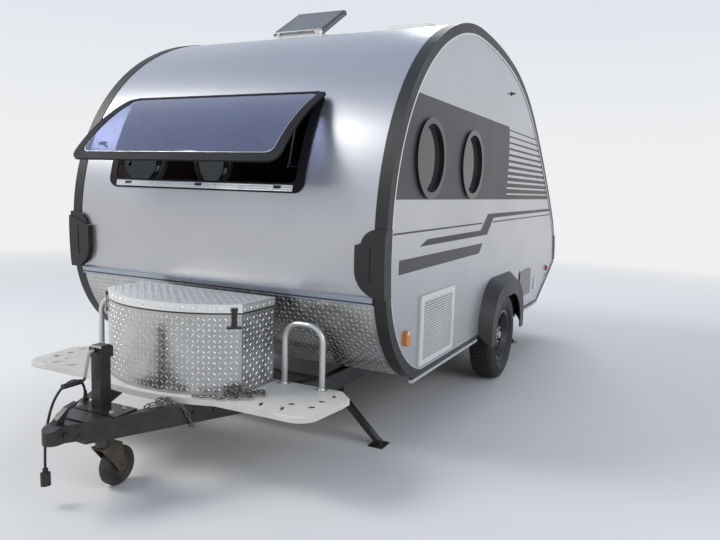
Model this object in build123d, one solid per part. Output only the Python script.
from build123d import *
import math
import os

# A teardrop trailer on one axle, standing on its jack wheel, its two tyres and four stabiliser legs.
# Millimetres. +X points forward to the hitch, +Y to the left, +Z up. The origin is on the ground,
# under the middle of the overall length.

# Overall sizes
overall_length = 5563.0
nose_x = overall_length / 2
tail_x = -overall_length / 2
body_width = 2160.0
wall = 38.0
half = body_width / 2
inner_half = half - wall
skin_gap = 0.3
move_gap = 5.0
pin_gap = 0.05

# Side profile of the cabin: from the crown the skin runs down in tangent arcs, forward and rearward.
# Columns: radius, turn in degrees. The last forward arc runs on until it meets the sill.
crown_x = 282.0
crown_z = 2520.0
sill_z = 440.0
front_arcs = ((1515.0, 33.0), (1258.0, 54.0), (2160.0, 8.0), (656.0, 63.0))
rear_arcs = ((4663.0, 10.2), (2397.0, 23.5), (8503.0, 9.3), (629.0, 47.0))
tail_corner_z = 750.0
chamfer_end_x = -2032.0

# Seams of the cabin's panels, from a point inside the cabin out through the skin
seam_hub = (-300.0, 1350.0)
seam_reach = 80.0
front_seam_z = 2150.0
rear_seam_z = 2120.0
floor_inset = 60.0
cut_reach = 60.0
beyond_x = 1000.0

# Chassis of straight steel beams
beam_width = 50.0
beam_height = 100.0
beam_top_z = 405.0
rail_inset = 464.0
rail_y = half - rail_inset
rail_front_x = 1480.0
rail_rear_x = -2010.0
coupler_length = 141.5
tongue_front_x = nose_x - coupler_length
tongue_front_y = 62.0
beam_bottom_z = beam_top_z - beam_height
bearer_width = 60.0
bearer_xs = (1120.0, 520.0, -20.0, -1100.0, -1560.0, -1960.0)
cross_tube_xs = (1440.0, -1700.0)
cross_tube_width = 50.0
cross_tube_up = 20.0
cross_tube_down = 10.0

# Running gear
tyre_radius = 344.0
tyre_width = 205.0
wheel_x = -552.0
wheel_inset = 43.0
wheel_y = half - wheel_inset
rim_radius = 190.0
rim_width = 152.0
drum_radius = 140.0
spindle_radius = 20.0
axle_tube = 76.0
axle_arm_reach = 131.0
axle_inset = 245.0
axle_half = half - axle_inset
axle_chamfer = 8.0
arm_thick = 34.0
arm_pivot_radius = 36.0
arm_eye_radius = 34.0
hub_reach = 137.0
spindle_past = 14.0
back_plate_thick = 6.0
back_plate_gap = 6.0
hub_radius = 46.0
hub_face = 14.0

# Wheel arches: contours with round shoulders
arch_half = 430.0
arch_top_z = 770.0
arch_shoulder = 300.0
arch_depth = 190.0
box_wall = 6.0
fender_reach = 88.5
fender_lip_y = half + fender_reach
fender_root_half = 560.0
fender_root_top_z = 830.0
fender_lip_half = 490.0
fender_lip_top_z = 768.0
fender_low_z = 345.0
fender_shoulder = 330.0
fender_open_half = 392.0
fender_open_top_z = 672.0
fender_wall = 10.0

# Edge trim round the profile
trim_wide = 65.0
trim_thick = 4.0
bead_wide = 12.0
bead_proud = 5.0

# Belt moulding and stone guard across the front
belt_low_z = 885.0
belt_high_z = 927.0
belt_thick = 18.0
guard_thick = 3.0

# Corner housings: a broad lower tier and a slimmer upper one at the front, one tier at the tail
housing_high_z = 1272.0
housing_ledge_z = 1190.0
housing_ledge_rise = 0.34
housing_inset = 157.0
housing_upper_inset = 131.0
housing_low_round = 140.0
housing_high_round = 88.0
housing_proud = 34.0
housing_upper_proud = 22.0
housing_side_proud = 9.0
groove_inset = 70.0
groove_width = 7.0
groove_depth = 4.0
groove_low_z = 1005.0
groove_high_z = 1184.0
tail_housing_low_z = 775.0
tail_housing_high_z = 1035.0
tail_housing_inset = 120.0
tail_housing_round = 60.0
tail_housing_proud = 20.0
tail_lamp_low_z = 850.0
tail_lamp_high_z = 960.0
tail_lamp_inset = 96.0
tail_lamp_width = 44.0
tail_lamp_proud = 5.0

# Front window, top hung
window_high_z = 1972.0
window_low_z = 1432.0
window_left_y = 589.0
window_right_y = -789.0
window_corner = 60.0
window_border = 50.0
frame_thick = 10.0
pane_thick = 6.0
lid_clear = 8.5
lid_low_z = 1388.0
lid_left_y = 612.0
lid_right_y = -798.0
lid_border = 52.0
lid_top_border = 24.0
lid_border_proud = 4.0
window_open = 29.0
window_hinge_radius = 9.0
window_rod_radius = 4.0

# Rear window, fixed
rear_window_high_z = 1960.0
rear_window_low_z = 1480.0
rear_window_half = 560.0

# Round windows. Columns: x of the centre
porthole_xs_left = (1129.0, 364.0)
porthole_x_right = 1129.0
porthole_z = 1647.0
porthole_outer = 445.0
porthole_hole = 400.0
porthole_bore = 376.0
porthole_ring_thick = 16.0
porthole_pane_thick = 5.0

# Door in the right wall
door_low_x = 44.0
door_high_x = 684.0
door_low_z = 482.0
door_high_z = 2230.0
door_corner = 70.0
door_window_x = (door_low_x + door_high_x) / 2
door_frame_wide = 24.0
door_frame_thick = 4.0
door_hinge_zs = (640.0, 1180.0, 2060.0)
door_hinge_height = 70.0
door_hinge_leaf = 20.0
door_strap_reach = 60.0
door_pad_reach = 30.0
door_pin_radius = 4.0
door_knuckle_radius = 9.0
knuckle_gap = 0.5
door_sill_lap = 16.0
handle_inset = 34.0
handle_corner = 14.0
recess_side = 14.0
recess_end = 30.0
recess_corner = 8.0
recess_floor = 5.0
handle_z = 1185.0
handle_width = 60.0
handle_height = 130.0
handle_thick = 14.0

# Louvred vent panel in the left wall
vent_low_x = 612.0
vent_high_x = 1192.0
vent_low_z = 474.0
vent_high_z = 880.0
vent_corner = 14.0
vent_side_frame = 40.0
vent_frame = 28.0
vent_lining = 6.0
vent_proud = 12.0
vent_back = 4.0
louvre_pitch = 15.0
louvre_lip = 6.0
louvre_edge = 2.0
louvre_rise = 8.0
louvre_depth = 20.0
louvre_inset = 4.0

# Inlet hatch in the left wall, with a flap hinged at its top
hatch_low_x = -1600.0
hatch_high_x = -1200.0
hatch_low_z = 565.0
hatch_high_z = 765.0
hatch_corner = 12.0
hatch_depth = 30.0
inlet_flange = 110.0
inlet_flange_thick = 8.0
inlet_outer = 70.0
inlet_bore = 58.0
inlet_recess = 8.0
flap_over = 14.0
flap_thick = 8.0
flap_corner = 16.0
flap_pin_radius = 2.5
flap_knuckle_radius = 5.0
flap_ear = 30.0
small_hatch_x = -1835.0
small_hatch_z = 615.0
small_hatch_width = 90.0
small_hatch_height = 110.0
small_hatch_proud = 9.0

# Marker lamps on the side walls
front_marker = (1380.0, 677.0)
front_marker_size = (56.0, 84.0)
rear_marker = (-2366.0, 715.0)
rear_marker_size = (68.0, 46.0)
marker_round = 0.4
marker_proud = 18.0

# Roof vent
roof_vent_x = 186.0
roof_vent_y = -268.0
roof_vent_size = 400.0
roof_vent_hole = 356.0
roof_vent_top_z = 2562.0
roof_vent_open = 32.0
throat_wall = 3.5
roof_lid_thick = 14.0
roof_lid_edge = 12.0
roof_lid_skirt = 26.0
roof_lid_wall = 4.0
roof_pin_radius = 3.0
roof_knuckle_radius = 6.0
roof_lug = 20.0
roof_pin_out = 8.0
roof_pin_up = 6.0
roof_pin_inset = 30.0

# Roof cap, a low moulded dome
cap_x = 218.0
cap_inset = 470.0
cap_y = half - cap_inset
cap_length = 380.0
cap_width = 360.0
cap_height = 48.0
cap_corner = 60.0
cap_edge = 30.0
cap_root = 40.0

# Platform on the tongue
deck_top_z = 435.0
deck_rear_x = 1712.0
deck_front_x = 2167.0
deck_front_inset = 175.0
deck_rear_inset = 112.0
deck_front_half = half - deck_front_inset
deck_rear_half = half - deck_rear_inset
deck_rear_step = 88.0
deck_nose_cuts = (6.0, 60.0, 140.0)
deck_taper = 90.0
deck_side_step = 150.0
deck_nose_step = 20.0
deck_bow = 80.0
deck_bow_half = 420.0
deck_edge = 6.0
deck_plate = 5.0
deck_rib = 8.0
deck_rib_inset = 60.0
deck_hole_radius = 19.0
# Columns: distance back from the deck's front, distance in from its front half width
deck_holes = ((157.0, 144.0), (264.0, 37.0), (164.0, 35.0))
deck_slots = ((77.0, 265.0), (77.0, 145.0), (367.0, 25.0))
slot_length = 60.0
slot_width = 18.0
slot_turn = 25.0

# U hoops on the platform
hoop_x = 1750.0
hoop_top_z = 780.0
hoop_tube_radius = 16.0
hoop_bend = 70.0
hoop_width = 222.0
hoop_tub_gap = 55.0

# Storage tub with a bowed front, its lid, seal and two draw latches
tub_rear_x = 1750.0
tub_side_x = 2030.0
tub_bow = 180.0
tub_mid_y = 30.0
tub_half = 450.0
hoop_inner_y = tub_mid_y + tub_half + hoop_tub_gap
hoop_outer_y = hoop_inner_y + hoop_width
tub_top_z = 840.0
tub_wall = 4.0
tub_seal = 8.0
tub_seal_proud = 1.0
tub_lid_top_z = 890.0
tub_lid_over = 3.0
tub_lid_wall = 3.0
tub_hinge_radius = 6.0
tub_pin_radius = 3.0
tub_knuckle = 60.0
tub_hinge_inset = 40.0
latch_inset = 28.0
latch_low_z = 770.0
latch_high_z = 874.0
latch_strap_width = 28.0
latch_strap_thick = 5.0
latch_stand_off = 5.0
latch_head = 18.0
latch_head_width = 34.0
latch_bar_width = 74.0
latch_bar_height = 10.0
latch_bar_thick = 10.0

# Coupler
coupler_low_z = 325.0
coupler_half = 92.0
coupler_wall = 22.0
coupler_nose_half = 42.0
coupler_neck = 70.0
ball_radius = 25.8
ball_back = 52.0
ball_x = nose_x - ball_back
cover_length = 96.0
coupler_plate = 6.0
lever_back = 74.0
lever_half = 15.0

# Jack and its caster
jack_back = 314.5
jack_x = nose_x - jack_back
jack_tube_size = 60.0
jack_leg_radius = 24.0
jack_leg_gap = 0.5
jack_leg_wall = 4.0
jack_leg_end = 10.0
jack_head_size = 78.0
jack_head_edge = 9.0
jack_head_low_z = 655.0
jack_head_top_z = 712.0
jack_tube_low_z = 312.0
jack_leg_top_z = 545.0
jack_leg_low_z = 226.0
jack_flange_half = 70.0
jack_flange_over = 10.0
jack_flange_thick = 8.0
caster_trail = 89.0
caster_radius = 97.5
caster_width = 50.0
caster_pin_radius = 8.0
caster_sleeve_radius = 31.0
caster_sleeve_top_z = 256.0
caster_plate_z = 214.0
caster_plate_rear = 92.0
caster_plate_front = 34.0
fork_plate = 6.0
fork_gap = 5.0
fork_pin_radius = 5.0
fork_pin_out = 8.0
fork_pin_down = 18.0
crank_z = 692.0
crank_boss_radius = 13.0
crank_boss_length = 10.0
crank_arm = 146.0
crank_arm_out = 22.0
crank_rod = 7.0
crank_lean = 14.0
crank_bend = 16.0
crank_grip = 100.0
crank_grip_radius = 12.0

# Stabiliser legs. Columns: x of each pair
stabiliser_xs = (1258.0, -1880.0)
stabiliser_pivot_z = 272.0
stabiliser_foot_inset = 180.0
stabiliser_foot_y = half - stabiliser_foot_inset
stabiliser_width = 40.0
stabiliser_depth = 30.0
stabiliser_wall = 4.0
stabiliser_pin = 6.0
ear_thick = 6.0
ear_gap = 1.0
ear_half = 20.0
foot_length = 110.0
foot_width = 90.0
foot_thick = 6.0
shoe_length = 40.0
shoe_height = 24.0

# Connector cable, a free cord. Columns: forward of the jack, left of the middle, above the tongue's top
cable_radius = 6.0
cable_points = (
    (-35.0, -146.0, 15.0),
    (-35.0, -146.0, 87.0),
    (25.0, -143.0, 125.0),
    (99.0, -134.0, 115.0),
    (163.0, -122.0, 65.0),
    (205.0, -110.0, -13.0),
    (227.0, -102.0, -100.0),
    (236.0, -97.0, -183.0),
    (237.0, -95.0, -227.0),
)
gland_radius = 14.0
gland_height = 7.0
plug_length = 78.0
plug_radius = 22.0
plug_neck = 22.0
plug_neck_radius = 12.0

# Rear bumper beam and number plate holder
bumper_z = 470.0
bumper_height = 60.0
bumper_depth = 46.0
bumper_past_rail = 84.0
bumper_half = rail_y + bumper_past_rail
bumper_corner = 20.0
bracket_half = 20.0
plate_width = 305.0
plate_height = 155.0
plate_low_z = 770.0
plate_thick = 14.0


def skin_run(way, inset, arcs, stop_z=None):
    # Edges of the skin from the crown, way 1 forward or -1 rearward, moved inward by inset.
    x, z, lean = crown_x, crown_z - inset, 0.0
    edges = []
    for index, (radius, turn) in enumerate(arcs):
        r = radius - inset
        end = lean + math.radians(turn)
        if stop_z is not None and index == len(arcs) - 1:
            end = math.acos(math.cos(lean) - (z - stop_z) / r)
        middle = (lean + end) / 2
        points = []
        for a in (middle, end):
            run, drop = r * (math.sin(a) - math.sin(lean)), r * (math.cos(lean) - math.cos(a))
            points.append((x + way * run, z - drop))
        edges.append(ThreePointArc((x, z), points[0], points[1]))
        x, z = points[1]
        lean = end
    return edges, (x, z)


def skin_at(way, height, outset=0.0):
    # Point of the skin at a height, moved outward by outset, with its lean from level in radians.
    x, z, lean = crown_x, crown_z, 0.0
    for radius, turn in front_arcs if way > 0 else rear_arcs:
        end = lean + math.radians(turn)
        low = z - radius * (math.cos(lean) - math.cos(end))
        if height >= low:
            end = math.acos(math.cos(lean) - (z - height) / radius)
            x += way * radius * (math.sin(end) - math.sin(lean))
            return x + way * outset * math.sin(end), height + outset * math.cos(end), end
        x += way * radius * (math.sin(end) - math.sin(lean))
        z, lean = low, end
    return x + way * outset, height, math.pi / 2


def outline(inset=0.0, bottom=None):
    # The closed side profile, moved inward by inset.
    bottom = sill_z + inset if bottom is None else bottom
    front, front_end = skin_run(1, inset, front_arcs, bottom)
    rear, rear_end = skin_run(-1, inset, rear_arcs)
    tail_face_x = rear_end[0]
    drop = sill_z - tail_corner_z
    run = chamfer_end_x - (tail_face_x - inset)
    length = math.hypot(run, drop)
    across, up = -drop / length, run / length
    slope = drop / run
    start_x = chamfer_end_x + across * inset
    start_z = sill_z + up * inset
    corner = (tail_face_x, start_z + slope * (tail_face_x - start_x))
    foot = (start_x + (bottom - start_z) / slope, bottom)
    lines = [Line(foot, front_end)]
    if corner[1] < rear_end[1]:
        lines.append(Line(rear_end, corner))
    else:
        # Here the chamfer meets the last arc itself.
        r = rear_arcs[-1][0] - inset
        reach = across * (tail_face_x + r - start_x) - up * (start_z - rear_end[1])
        turn = math.acos(-reach / r) - math.atan2(-slope, 1)
        rear, corner = skin_run(-1, inset, rear_arcs, rear_end[1] + r * math.cos(turn))
    lines.append(Line(corner, foot))
    return make_face(front + rear + lines)


def slab(face, low_y, high_y):
    # A face drawn in X and Z, made solid from low_y to high_y.
    return Pos(0, low_y, 0) * extrude(Plane.XZ * face, high_y - low_y, dir=(0, 1, 0))


def ring_face(outset, inset, bottom=None):
    # The band of the profile from outset outside the skin to inset inside it, in two dimensions.
    return outline(-outset) - outline(inset, bottom)


def polygon(points):
    return make_face(Polyline(*points, close=True))


def rect(low_x, high_x, low_z, high_z, corner=0.0):
    # A rectangle in X and Z from its limits, with round corners where asked.
    wide, tall = high_x - low_x, high_z - low_z
    shape = RectangleRounded(wide, tall, corner) if corner else Rectangle(wide, tall)
    return Pos((low_x + high_x) / 2, (low_z + high_z) / 2) * shape


def disc(x, z, diameter):
    return Pos(x, z) * Circle(diameter / 2)


def box(x, y, z):
    # A block from three pairs of limits.
    middle = [(low + high) / 2 for low, high in (x, y, z)]
    return Pos(*middle) * Box(x[1] - x[0], y[1] - y[0], z[1] - z[0])


def rod(start, end, radius):
    span = Vector(*end) - Vector(*start)
    return Plane(origin=start, z_dir=span) * extrude(Circle(radius), span.length)


def pipe(start, end, radius, bore):
    span = Vector(*end) - Vector(*start)
    return Plane(origin=start, z_dir=span) * extrude(Circle(radius) - Circle(bore), span.length)


def mirror_y(shape):
    return mirror(shape, about=Plane.XZ)


def both(shape):
    return Compound(children=[shape, mirror_y(shape)])


def on_wall(side, sketch, low, high):
    # A sketch drawn in true X and Z, made solid from low to high measured outward from the wall face.
    low_y, high_y = sorted((side * (half + low), side * (half + high)))
    return slab(sketch, low_y, high_y)


def arch(half_wide, low_z, top_z, shoulder):
    # Contour of a wheel arch about the wheel's x, with round shoulders.
    left, right = wheel_x - half_wide, wheel_x + half_wide
    lift = shoulder * (1 - math.sqrt(0.5))
    edges = [
        Line((left, low_z), (left, top_z - shoulder)),
        ThreePointArc((left, top_z - shoulder), (left + lift, top_z - lift), (left + shoulder, top_z)),
        Line((left + shoulder, top_z), (right - shoulder, top_z)),
        ThreePointArc((right - shoulder, top_z), (right - lift, top_z - lift), (right, top_z - shoulder)),
        Line((right, top_z - shoulder), (right, low_z)),
        Line((right, low_z), (left, low_z)),
    ]
    return make_face(edges)


def turned(shape, pivot, degrees):
    # A shape turned about an axis along Y through pivot, positive lifting the front edge.
    x, z = pivot
    return Pos(x, 0, z) * Rot(0, -degrees, 0) * Pos(-x, 0, -z) * shape


def write(name, shape):
    export_step(shape, "parts/" + name + ".step")
    print(name, len(shape.solids()), "solids")


# Cabin panels, each the whole thickness of its wall
front_seam = skin_at(1, front_seam_z, seam_reach)[:2]
rear_seam = skin_at(-1, rear_seam_z, seam_reach)[:2]
front_foot_x = skin_run(1, 0, front_arcs, sill_z)[1][0]
floor_front_x = front_foot_x - floor_inset
floor_rear_x = chamfer_end_x + floor_inset
floor_top_z = sill_z + wall
below_z = sill_z - cut_reach
rear_end_x = tail_x - beyond_x
front_zone = polygon((front_seam, seam_hub, (floor_front_x, floor_top_z), (floor_front_x, below_z),
                      (nose_x, below_z), (nose_x, front_seam[1])))
rear_zone = polygon((rear_seam, seam_hub, (floor_rear_x, floor_top_z), (floor_rear_x, below_z),
                     (rear_end_x, below_z), (rear_end_x, rear_seam[1])))
floor_zone = rect(floor_rear_x, floor_front_x, below_z, floor_top_z)
skin_face = ring_face(0, wall)
front_wall = slab(skin_face & front_zone, -inner_half, inner_half)
rear_wall = slab(skin_face & rear_zone, -inner_half, inner_half)
roof = slab(skin_face - front_zone - rear_zone - floor_zone, -inner_half, inner_half)
floor = box((floor_rear_x, floor_front_x), (-inner_half, inner_half), (sill_z, floor_top_z))


def pane_plane(way, low_z, high_z, mid_y):
    # Plane through the middle of a band of skin: local x along Y, local y up the skin, normal outward.
    low, high = skin_at(way, low_z), skin_at(way, high_z)
    x, z = (low[0] + high[0]) / 2, (low[1] + high[1]) / 2
    run, rise = high[0] - low[0], high[1] - low[1]
    length = math.hypot(run, rise)
    normal = (way * rise / length, 0, -way * run / length)
    return Plane(origin=(x, mid_y, z), x_dir=(0, way, 0), z_dir=normal), length


def pane_prism(plane, width, height, corner, lift=0.0):
    # A cutter with round corners, through the skin along a plane's normal, moved up the skin by lift.
    return plane * Pos(0, lift, 0) * extrude(RectangleRounded(width, height, corner), 260, both=True)


window_mid_y = (window_left_y + window_right_y) / 2
window_width = window_left_y - window_right_y
front_plane, front_chord = pane_plane(1, window_low_z, window_high_z, window_mid_y)
rear_plane, rear_chord = pane_plane(-1, rear_window_low_z, rear_window_high_z, 0)
hole_corner = window_corner * 0.6
window_outer = pane_prism(front_plane, window_width, front_chord, window_corner)
window_hole = pane_prism(
    front_plane, window_width - 2 * window_border, front_chord - 2 * window_border, hole_corner)
front_band = slab(ring_face(frame_thick, -skin_gap), -inner_half, inner_half)
window_frame = (front_band & window_outer) - window_hole
front_wall = front_wall - window_hole
rear_outer = pane_prism(rear_plane, 2 * rear_window_half, rear_chord, window_corner)
rear_hole = pane_prism(
    rear_plane, 2 * rear_window_half - 2 * window_border, rear_chord - 2 * window_border, hole_corner)
rear_wall = rear_wall - rear_hole
rear_window = slab(ring_face(frame_thick, -skin_gap), -inner_half, inner_half) & rear_outer

# Hinge line of the front window: a rod on a web of the frame, inside a split tube along the lid's upper edge
hinge_drop = 10.0
lid_low = frame_thick + lid_clear
lid_high = lid_low + pane_thick
hinge_x, hinge_z, hinge_lean = skin_at(1, window_high_z - hinge_drop, (lid_low + lid_high) / 2)
hinge = (hinge_x, hinge_z)
along = (math.cos(hinge_lean), -math.sin(hinge_lean))
outward = (math.sin(hinge_lean), math.cos(hinge_lean))


def hinge_point(down, out):
    # A point in X and Z, measured down the skin and outward from the hinge line.
    return (hinge_x + along[0] * down + outward[0] * out, hinge_z + along[1] * down + outward[1] * out)


hinge_low_y = window_right_y + 40
hinge_high_y = window_left_y - 40
web_half = 1.5
web_depth = lid_clear + pane_thick / 2 + 3
web_face = polygon((hinge_point(-web_half, 0), hinge_point(web_half, 0),
                    hinge_point(web_half, -web_depth), hinge_point(-web_half, -web_depth)))
web = slab(web_face, hinge_low_y, hinge_high_y)
hinge_rod = rod((hinge_x, hinge_low_y, hinge_z), (hinge_x, hinge_high_y, hinge_z), window_rod_radius)
window_frame = window_frame + web + hinge_rod
lid_reach = 900.0
lid_zone = polygon((hinge_point(0, -60), hinge_point(0, 60), hinge_point(lid_reach, 60),
                    hinge_point(lid_reach, -lid_reach / 2)))
lid_width = lid_left_y - lid_right_y
lid_plane, lid_chord = pane_plane(1, lid_low_z, window_high_z, (lid_left_y + lid_right_y) / 2)
lid_outer = pane_prism(lid_plane, lid_width, lid_chord, window_corner)
lid_pane_lift = (lid_border - lid_top_border) / 2
lid_inner_width = lid_width - 2 * lid_border
lid_inner_height = lid_chord - lid_border - lid_top_border
lid_inner = pane_prism(lid_plane, lid_inner_width, lid_inner_height, hole_corner, lid_pane_lift)
lid_pane = pane_prism(lid_plane, lid_inner_width - 2 * pin_gap, lid_inner_height - 2 * pin_gap,
                      hole_corner - pin_gap, lid_pane_lift)
lid_pane_closed = slab(ring_face(lid_high, -lid_low) & lid_zone, lid_right_y, lid_left_y) & lid_pane
lid_border_band = ring_face(lid_high + lid_border_proud, -lid_low) & lid_zone
lid_border_closed = (slab(lid_border_band, lid_right_y, lid_left_y) & lid_outer) - lid_inner
barrel_bed = rod((hinge_x, lid_right_y, hinge_z), (hinge_x, lid_left_y, hinge_z), window_hinge_radius - 1)
lid_border_closed = lid_border_closed - barrel_bed
# The slot of the split tube leaves the web free over the lid's whole swing.
slot_face = polygon((hinge_point(2.5, 0), hinge_point(-40, 3), hinge_point(-60, -40), hinge_point(0, -40),
                     hinge_point(7.5, -14)))
barrel_ring = Pos(*hinge) * (Circle(window_hinge_radius) - Circle(window_rod_radius + 0.3))
barrel = slab(barrel_ring - slot_face, hinge_low_y + 1, hinge_high_y - 1)
window_lid = turned(lid_pane_closed, hinge, window_open)

# Telescopic stays inside the window opening, from the frame to the lid
stay_tube_radius = 6.0
stay_rod_radius = 3.5
stay_tube_length = 235.0
stay_rod_start = 95.0
stay_inset = 70.0
stay_foot_z = 1576.0
stay_head_down = 100.0
stay_head_in = 33.0
stay_depth = 10.0
stay_neck = 10.0
stay_eye_half = 4.0
stay_eye_radius = 12.0
stay_head_radius = 8.0
stay_pin_radius = 4.0
lug_thick = 2.5
lug_side_gap = 0.6
lug_overlap = 12.0
foot_x, foot_z = skin_at(1, stay_foot_z, -stay_depth)[:2]
head_closed = hinge_point(stay_head_down, -stay_head_in)
head_turn = math.radians(window_open)


def swung(point):
    # A point of the closed lid, carried to the lid's open place.
    x, z = point[0] - hinge_x, point[1] - hinge_z
    return (hinge_x + x * math.cos(head_turn) - z * math.sin(head_turn),
            hinge_z + x * math.sin(head_turn) + z * math.cos(head_turn))


stay_head = swung(head_closed)
stay_ys = (window_left_y - window_border - stay_inset, window_right_y + window_border + stay_inset)
stay_span = math.hypot(stay_head[0] - foot_x, stay_head[1] - foot_z)
stay_dir = ((stay_head[0] - foot_x) / stay_span, (stay_head[1] - foot_z) / stay_span)


def stay_point(reach, y):
    return (foot_x + stay_dir[0] * reach, y, foot_z + stay_dir[1] * reach)


stay_tubes = []
stay_rods = []
stay_posts = []
lid_lugs = []
lug_half = 14.0
lug_start, lug_stop = stay_head_down - lug_half, stay_head_down + lug_half
lug_zone = polygon((hinge_point(lug_start, -60), hinge_point(lug_stop, -60),
                    hinge_point(lug_stop, 60), hinge_point(lug_start, 60)))
lug_face = polygon((hinge_point(lug_start, -stay_head_in - stay_head_radius),
                    hinge_point(lug_stop, -stay_head_in - stay_head_radius),
                    hinge_point(lug_stop, -window_hinge_radius),
                    hinge_point(lug_start, -window_hinge_radius)))
lug_strap = ring_face(lid_low - skin_gap, -(lid_low - lug_thick)) & lug_zone
lug_foot = ring_face(lid_low + 1, -(lid_low - lug_thick)) & lug_zone


def across(low_y, high_y, radius, point):
    # A round bar along Y through a point in X and Z.
    return rod((point[0], low_y, point[1]), (point[0], high_y, point[1]), radius)


for y in stay_ys:
    side = 1 if y > window_mid_y else -1
    tube = pipe(stay_point(stay_neck, y), stay_point(stay_tube_length, y), stay_tube_radius,
                stay_rod_radius + pin_gap)
    neck = rod(stay_point(stay_neck - 2, y), stay_point(stay_neck + 4, y), stay_tube_radius)
    eye = across(y - stay_eye_half, y + stay_eye_half, stay_eye_radius, (foot_x, foot_z))
    bore_reach = 2 * stay_eye_half
    pin_hole = across(y - bore_reach, y + bore_reach, stay_pin_radius + pin_gap, (foot_x, foot_z))
    stay_tubes.append((tube + neck + eye) - pin_hole)
    head_eye = across(y - stay_eye_half, y + stay_eye_half, stay_head_radius, stay_head)
    bar = rod(stay_point(stay_rod_start, y), stay_point(stay_span - 3, y), stay_rod_radius)
    stay_rods.append(bar + head_eye)
    post_low, post_high = sorted((y - side * stay_eye_half, y + side * stay_inset))
    stay_posts.append(across(post_low, post_high, stay_pin_radius, (foot_x, foot_z)))
    inner_edge_y = (lid_left_y if side > 0 else lid_right_y) - side * lid_border
    lug_y = y + side * (stay_eye_half + lug_side_gap)
    near_y, far_y = sorted((lug_y, lug_y + side * stay_eye_half))
    strap_low, strap_high = sorted((lug_y, inner_edge_y + side * lug_overlap))
    foot_low, foot_high = sorted((inner_edge_y + side * skin_gap, inner_edge_y + side * lug_overlap))
    lug = slab(lug_face, near_y, far_y) + slab(lug_strap, strap_low, strap_high)
    lid_lugs.append(lug + slab(lug_foot, foot_low, foot_high))
window_lid_border = turned(lid_border_closed + barrel + lid_lugs[0] + lid_lugs[1], hinge, window_open)

# Side walls
vent_open_x = (vent_low_x + vent_side_frame, vent_high_x - vent_side_frame)
vent_open_z = (vent_low_z + vent_frame, vent_high_z - vent_frame)


def vent_opening(inset):
    # The opening in the left wall behind the louvred panel, made smaller all round by inset.
    low_z, high_z = vent_open_z[0] + inset, vent_open_z[1] - inset
    return rect(vent_open_x[0] + inset, vent_open_x[1] - inset, low_z, high_z)


def wall_face(side):
    # A side wall's outline with the openings of its windows, its wheel arch and its vent or door.
    xs = porthole_xs_left if side > 0 else (porthole_x_right,)
    face = outline()
    for x in xs:
        face = face - disc(x, porthole_z, porthole_hole)
    face = face - arch(arch_half + skin_gap, below_z, arch_top_z + skin_gap, arch_shoulder)
    if side > 0:
        return face - vent_opening(0)
    return face - rect(door_low_x, door_high_x, door_low_z, door_high_z, door_corner)


hatch_face = rect(hatch_low_x, hatch_high_x, hatch_low_z, hatch_high_z, hatch_corner)
hatch_pocket = on_wall(1, hatch_face, -hatch_depth, 1)
side_wall_left = on_wall(1, wall_face(1), -wall, 0) - hatch_pocket
side_wall_right = on_wall(-1, wall_face(-1), -wall, 0)

# Wheel boxes: the arched inner linings that stand in the floor and the side walls
box_inner_y = half - arch_depth - wall
box_outer_face = arch(arch_half, sill_z, arch_top_z, arch_shoulder)
box_inner_face = arch(arch_half - box_wall, below_z, arch_top_z - box_wall, arch_shoulder - box_wall)
wheel_box = slab(box_outer_face - box_inner_face, box_inner_y, half)
wheel_box = wheel_box + slab(box_outer_face, box_inner_y - box_wall, box_inner_y)
wheel_boxes = both(wheel_box)
notch = box((wheel_x - arch_half - skin_gap, wheel_x + arch_half + skin_gap),
            (box_inner_y - box_wall - skin_gap, half), (sill_z - 1, floor_top_z + 1))
floor = floor - notch - mirror_y(notch)

# Fenders: tapered covers over the wheels, open below


def placed(face, y):
    return Pos(0, y, 0) * (Plane.XZ * face)


fender_shape = loft([
    placed(arch(fender_root_half, sill_z, fender_root_top_z, fender_shoulder), half + skin_gap),
    placed(arch(fender_lip_half, fender_low_z, fender_lip_top_z, fender_shoulder), fender_lip_y)], ruled=True)
fender_void = loft([
    placed(arch(fender_root_half - fender_wall, sill_z - 40, fender_root_top_z - fender_wall,
                fender_shoulder - fender_wall), half - 1),
    placed(arch(fender_lip_half - fender_wall, fender_low_z - 40, fender_lip_top_z - fender_wall,
                fender_shoulder - fender_wall), fender_lip_y - fender_wall)], ruled=True)
fender_mouth = slab(arch(fender_open_half, fender_low_z - 60, fender_open_top_z, fender_shoulder - 20),
                    half, fender_lip_y + 10)
fender = fender_shape - fender_void - fender_mouth
fenders = both(fender)

# Edge trim over the corners between skin and side walls, with a bead along its inner edge
trim_ring = ring_face(trim_thick, -skin_gap)
trim_side = ring_face(trim_thick, trim_wide - bead_wide, sill_z + bead_wide)
bead_ring = (outline(trim_wide - bead_wide, sill_z + bead_wide)
             - outline(trim_wide, sill_z + 2 * bead_wide))
trim = slab(trim_ring, half - trim_wide, half + trim_thick)
trim = trim + slab(trim_side, half + skin_gap, half + trim_thick)
bead = slab(bead_ring, half + skin_gap, half + skin_gap + bead_proud)
wheel_gap = box((wheel_x - fender_root_half - 1, wheel_x + fender_root_half + 1),
                (inner_half - trim_wide, half + fender_reach), (below_z, sill_z + cut_reach))
trim = trim - wheel_gap
bead = bead - wheel_gap
edge_trims = both(trim)
edge_beads = both(bead)

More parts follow.
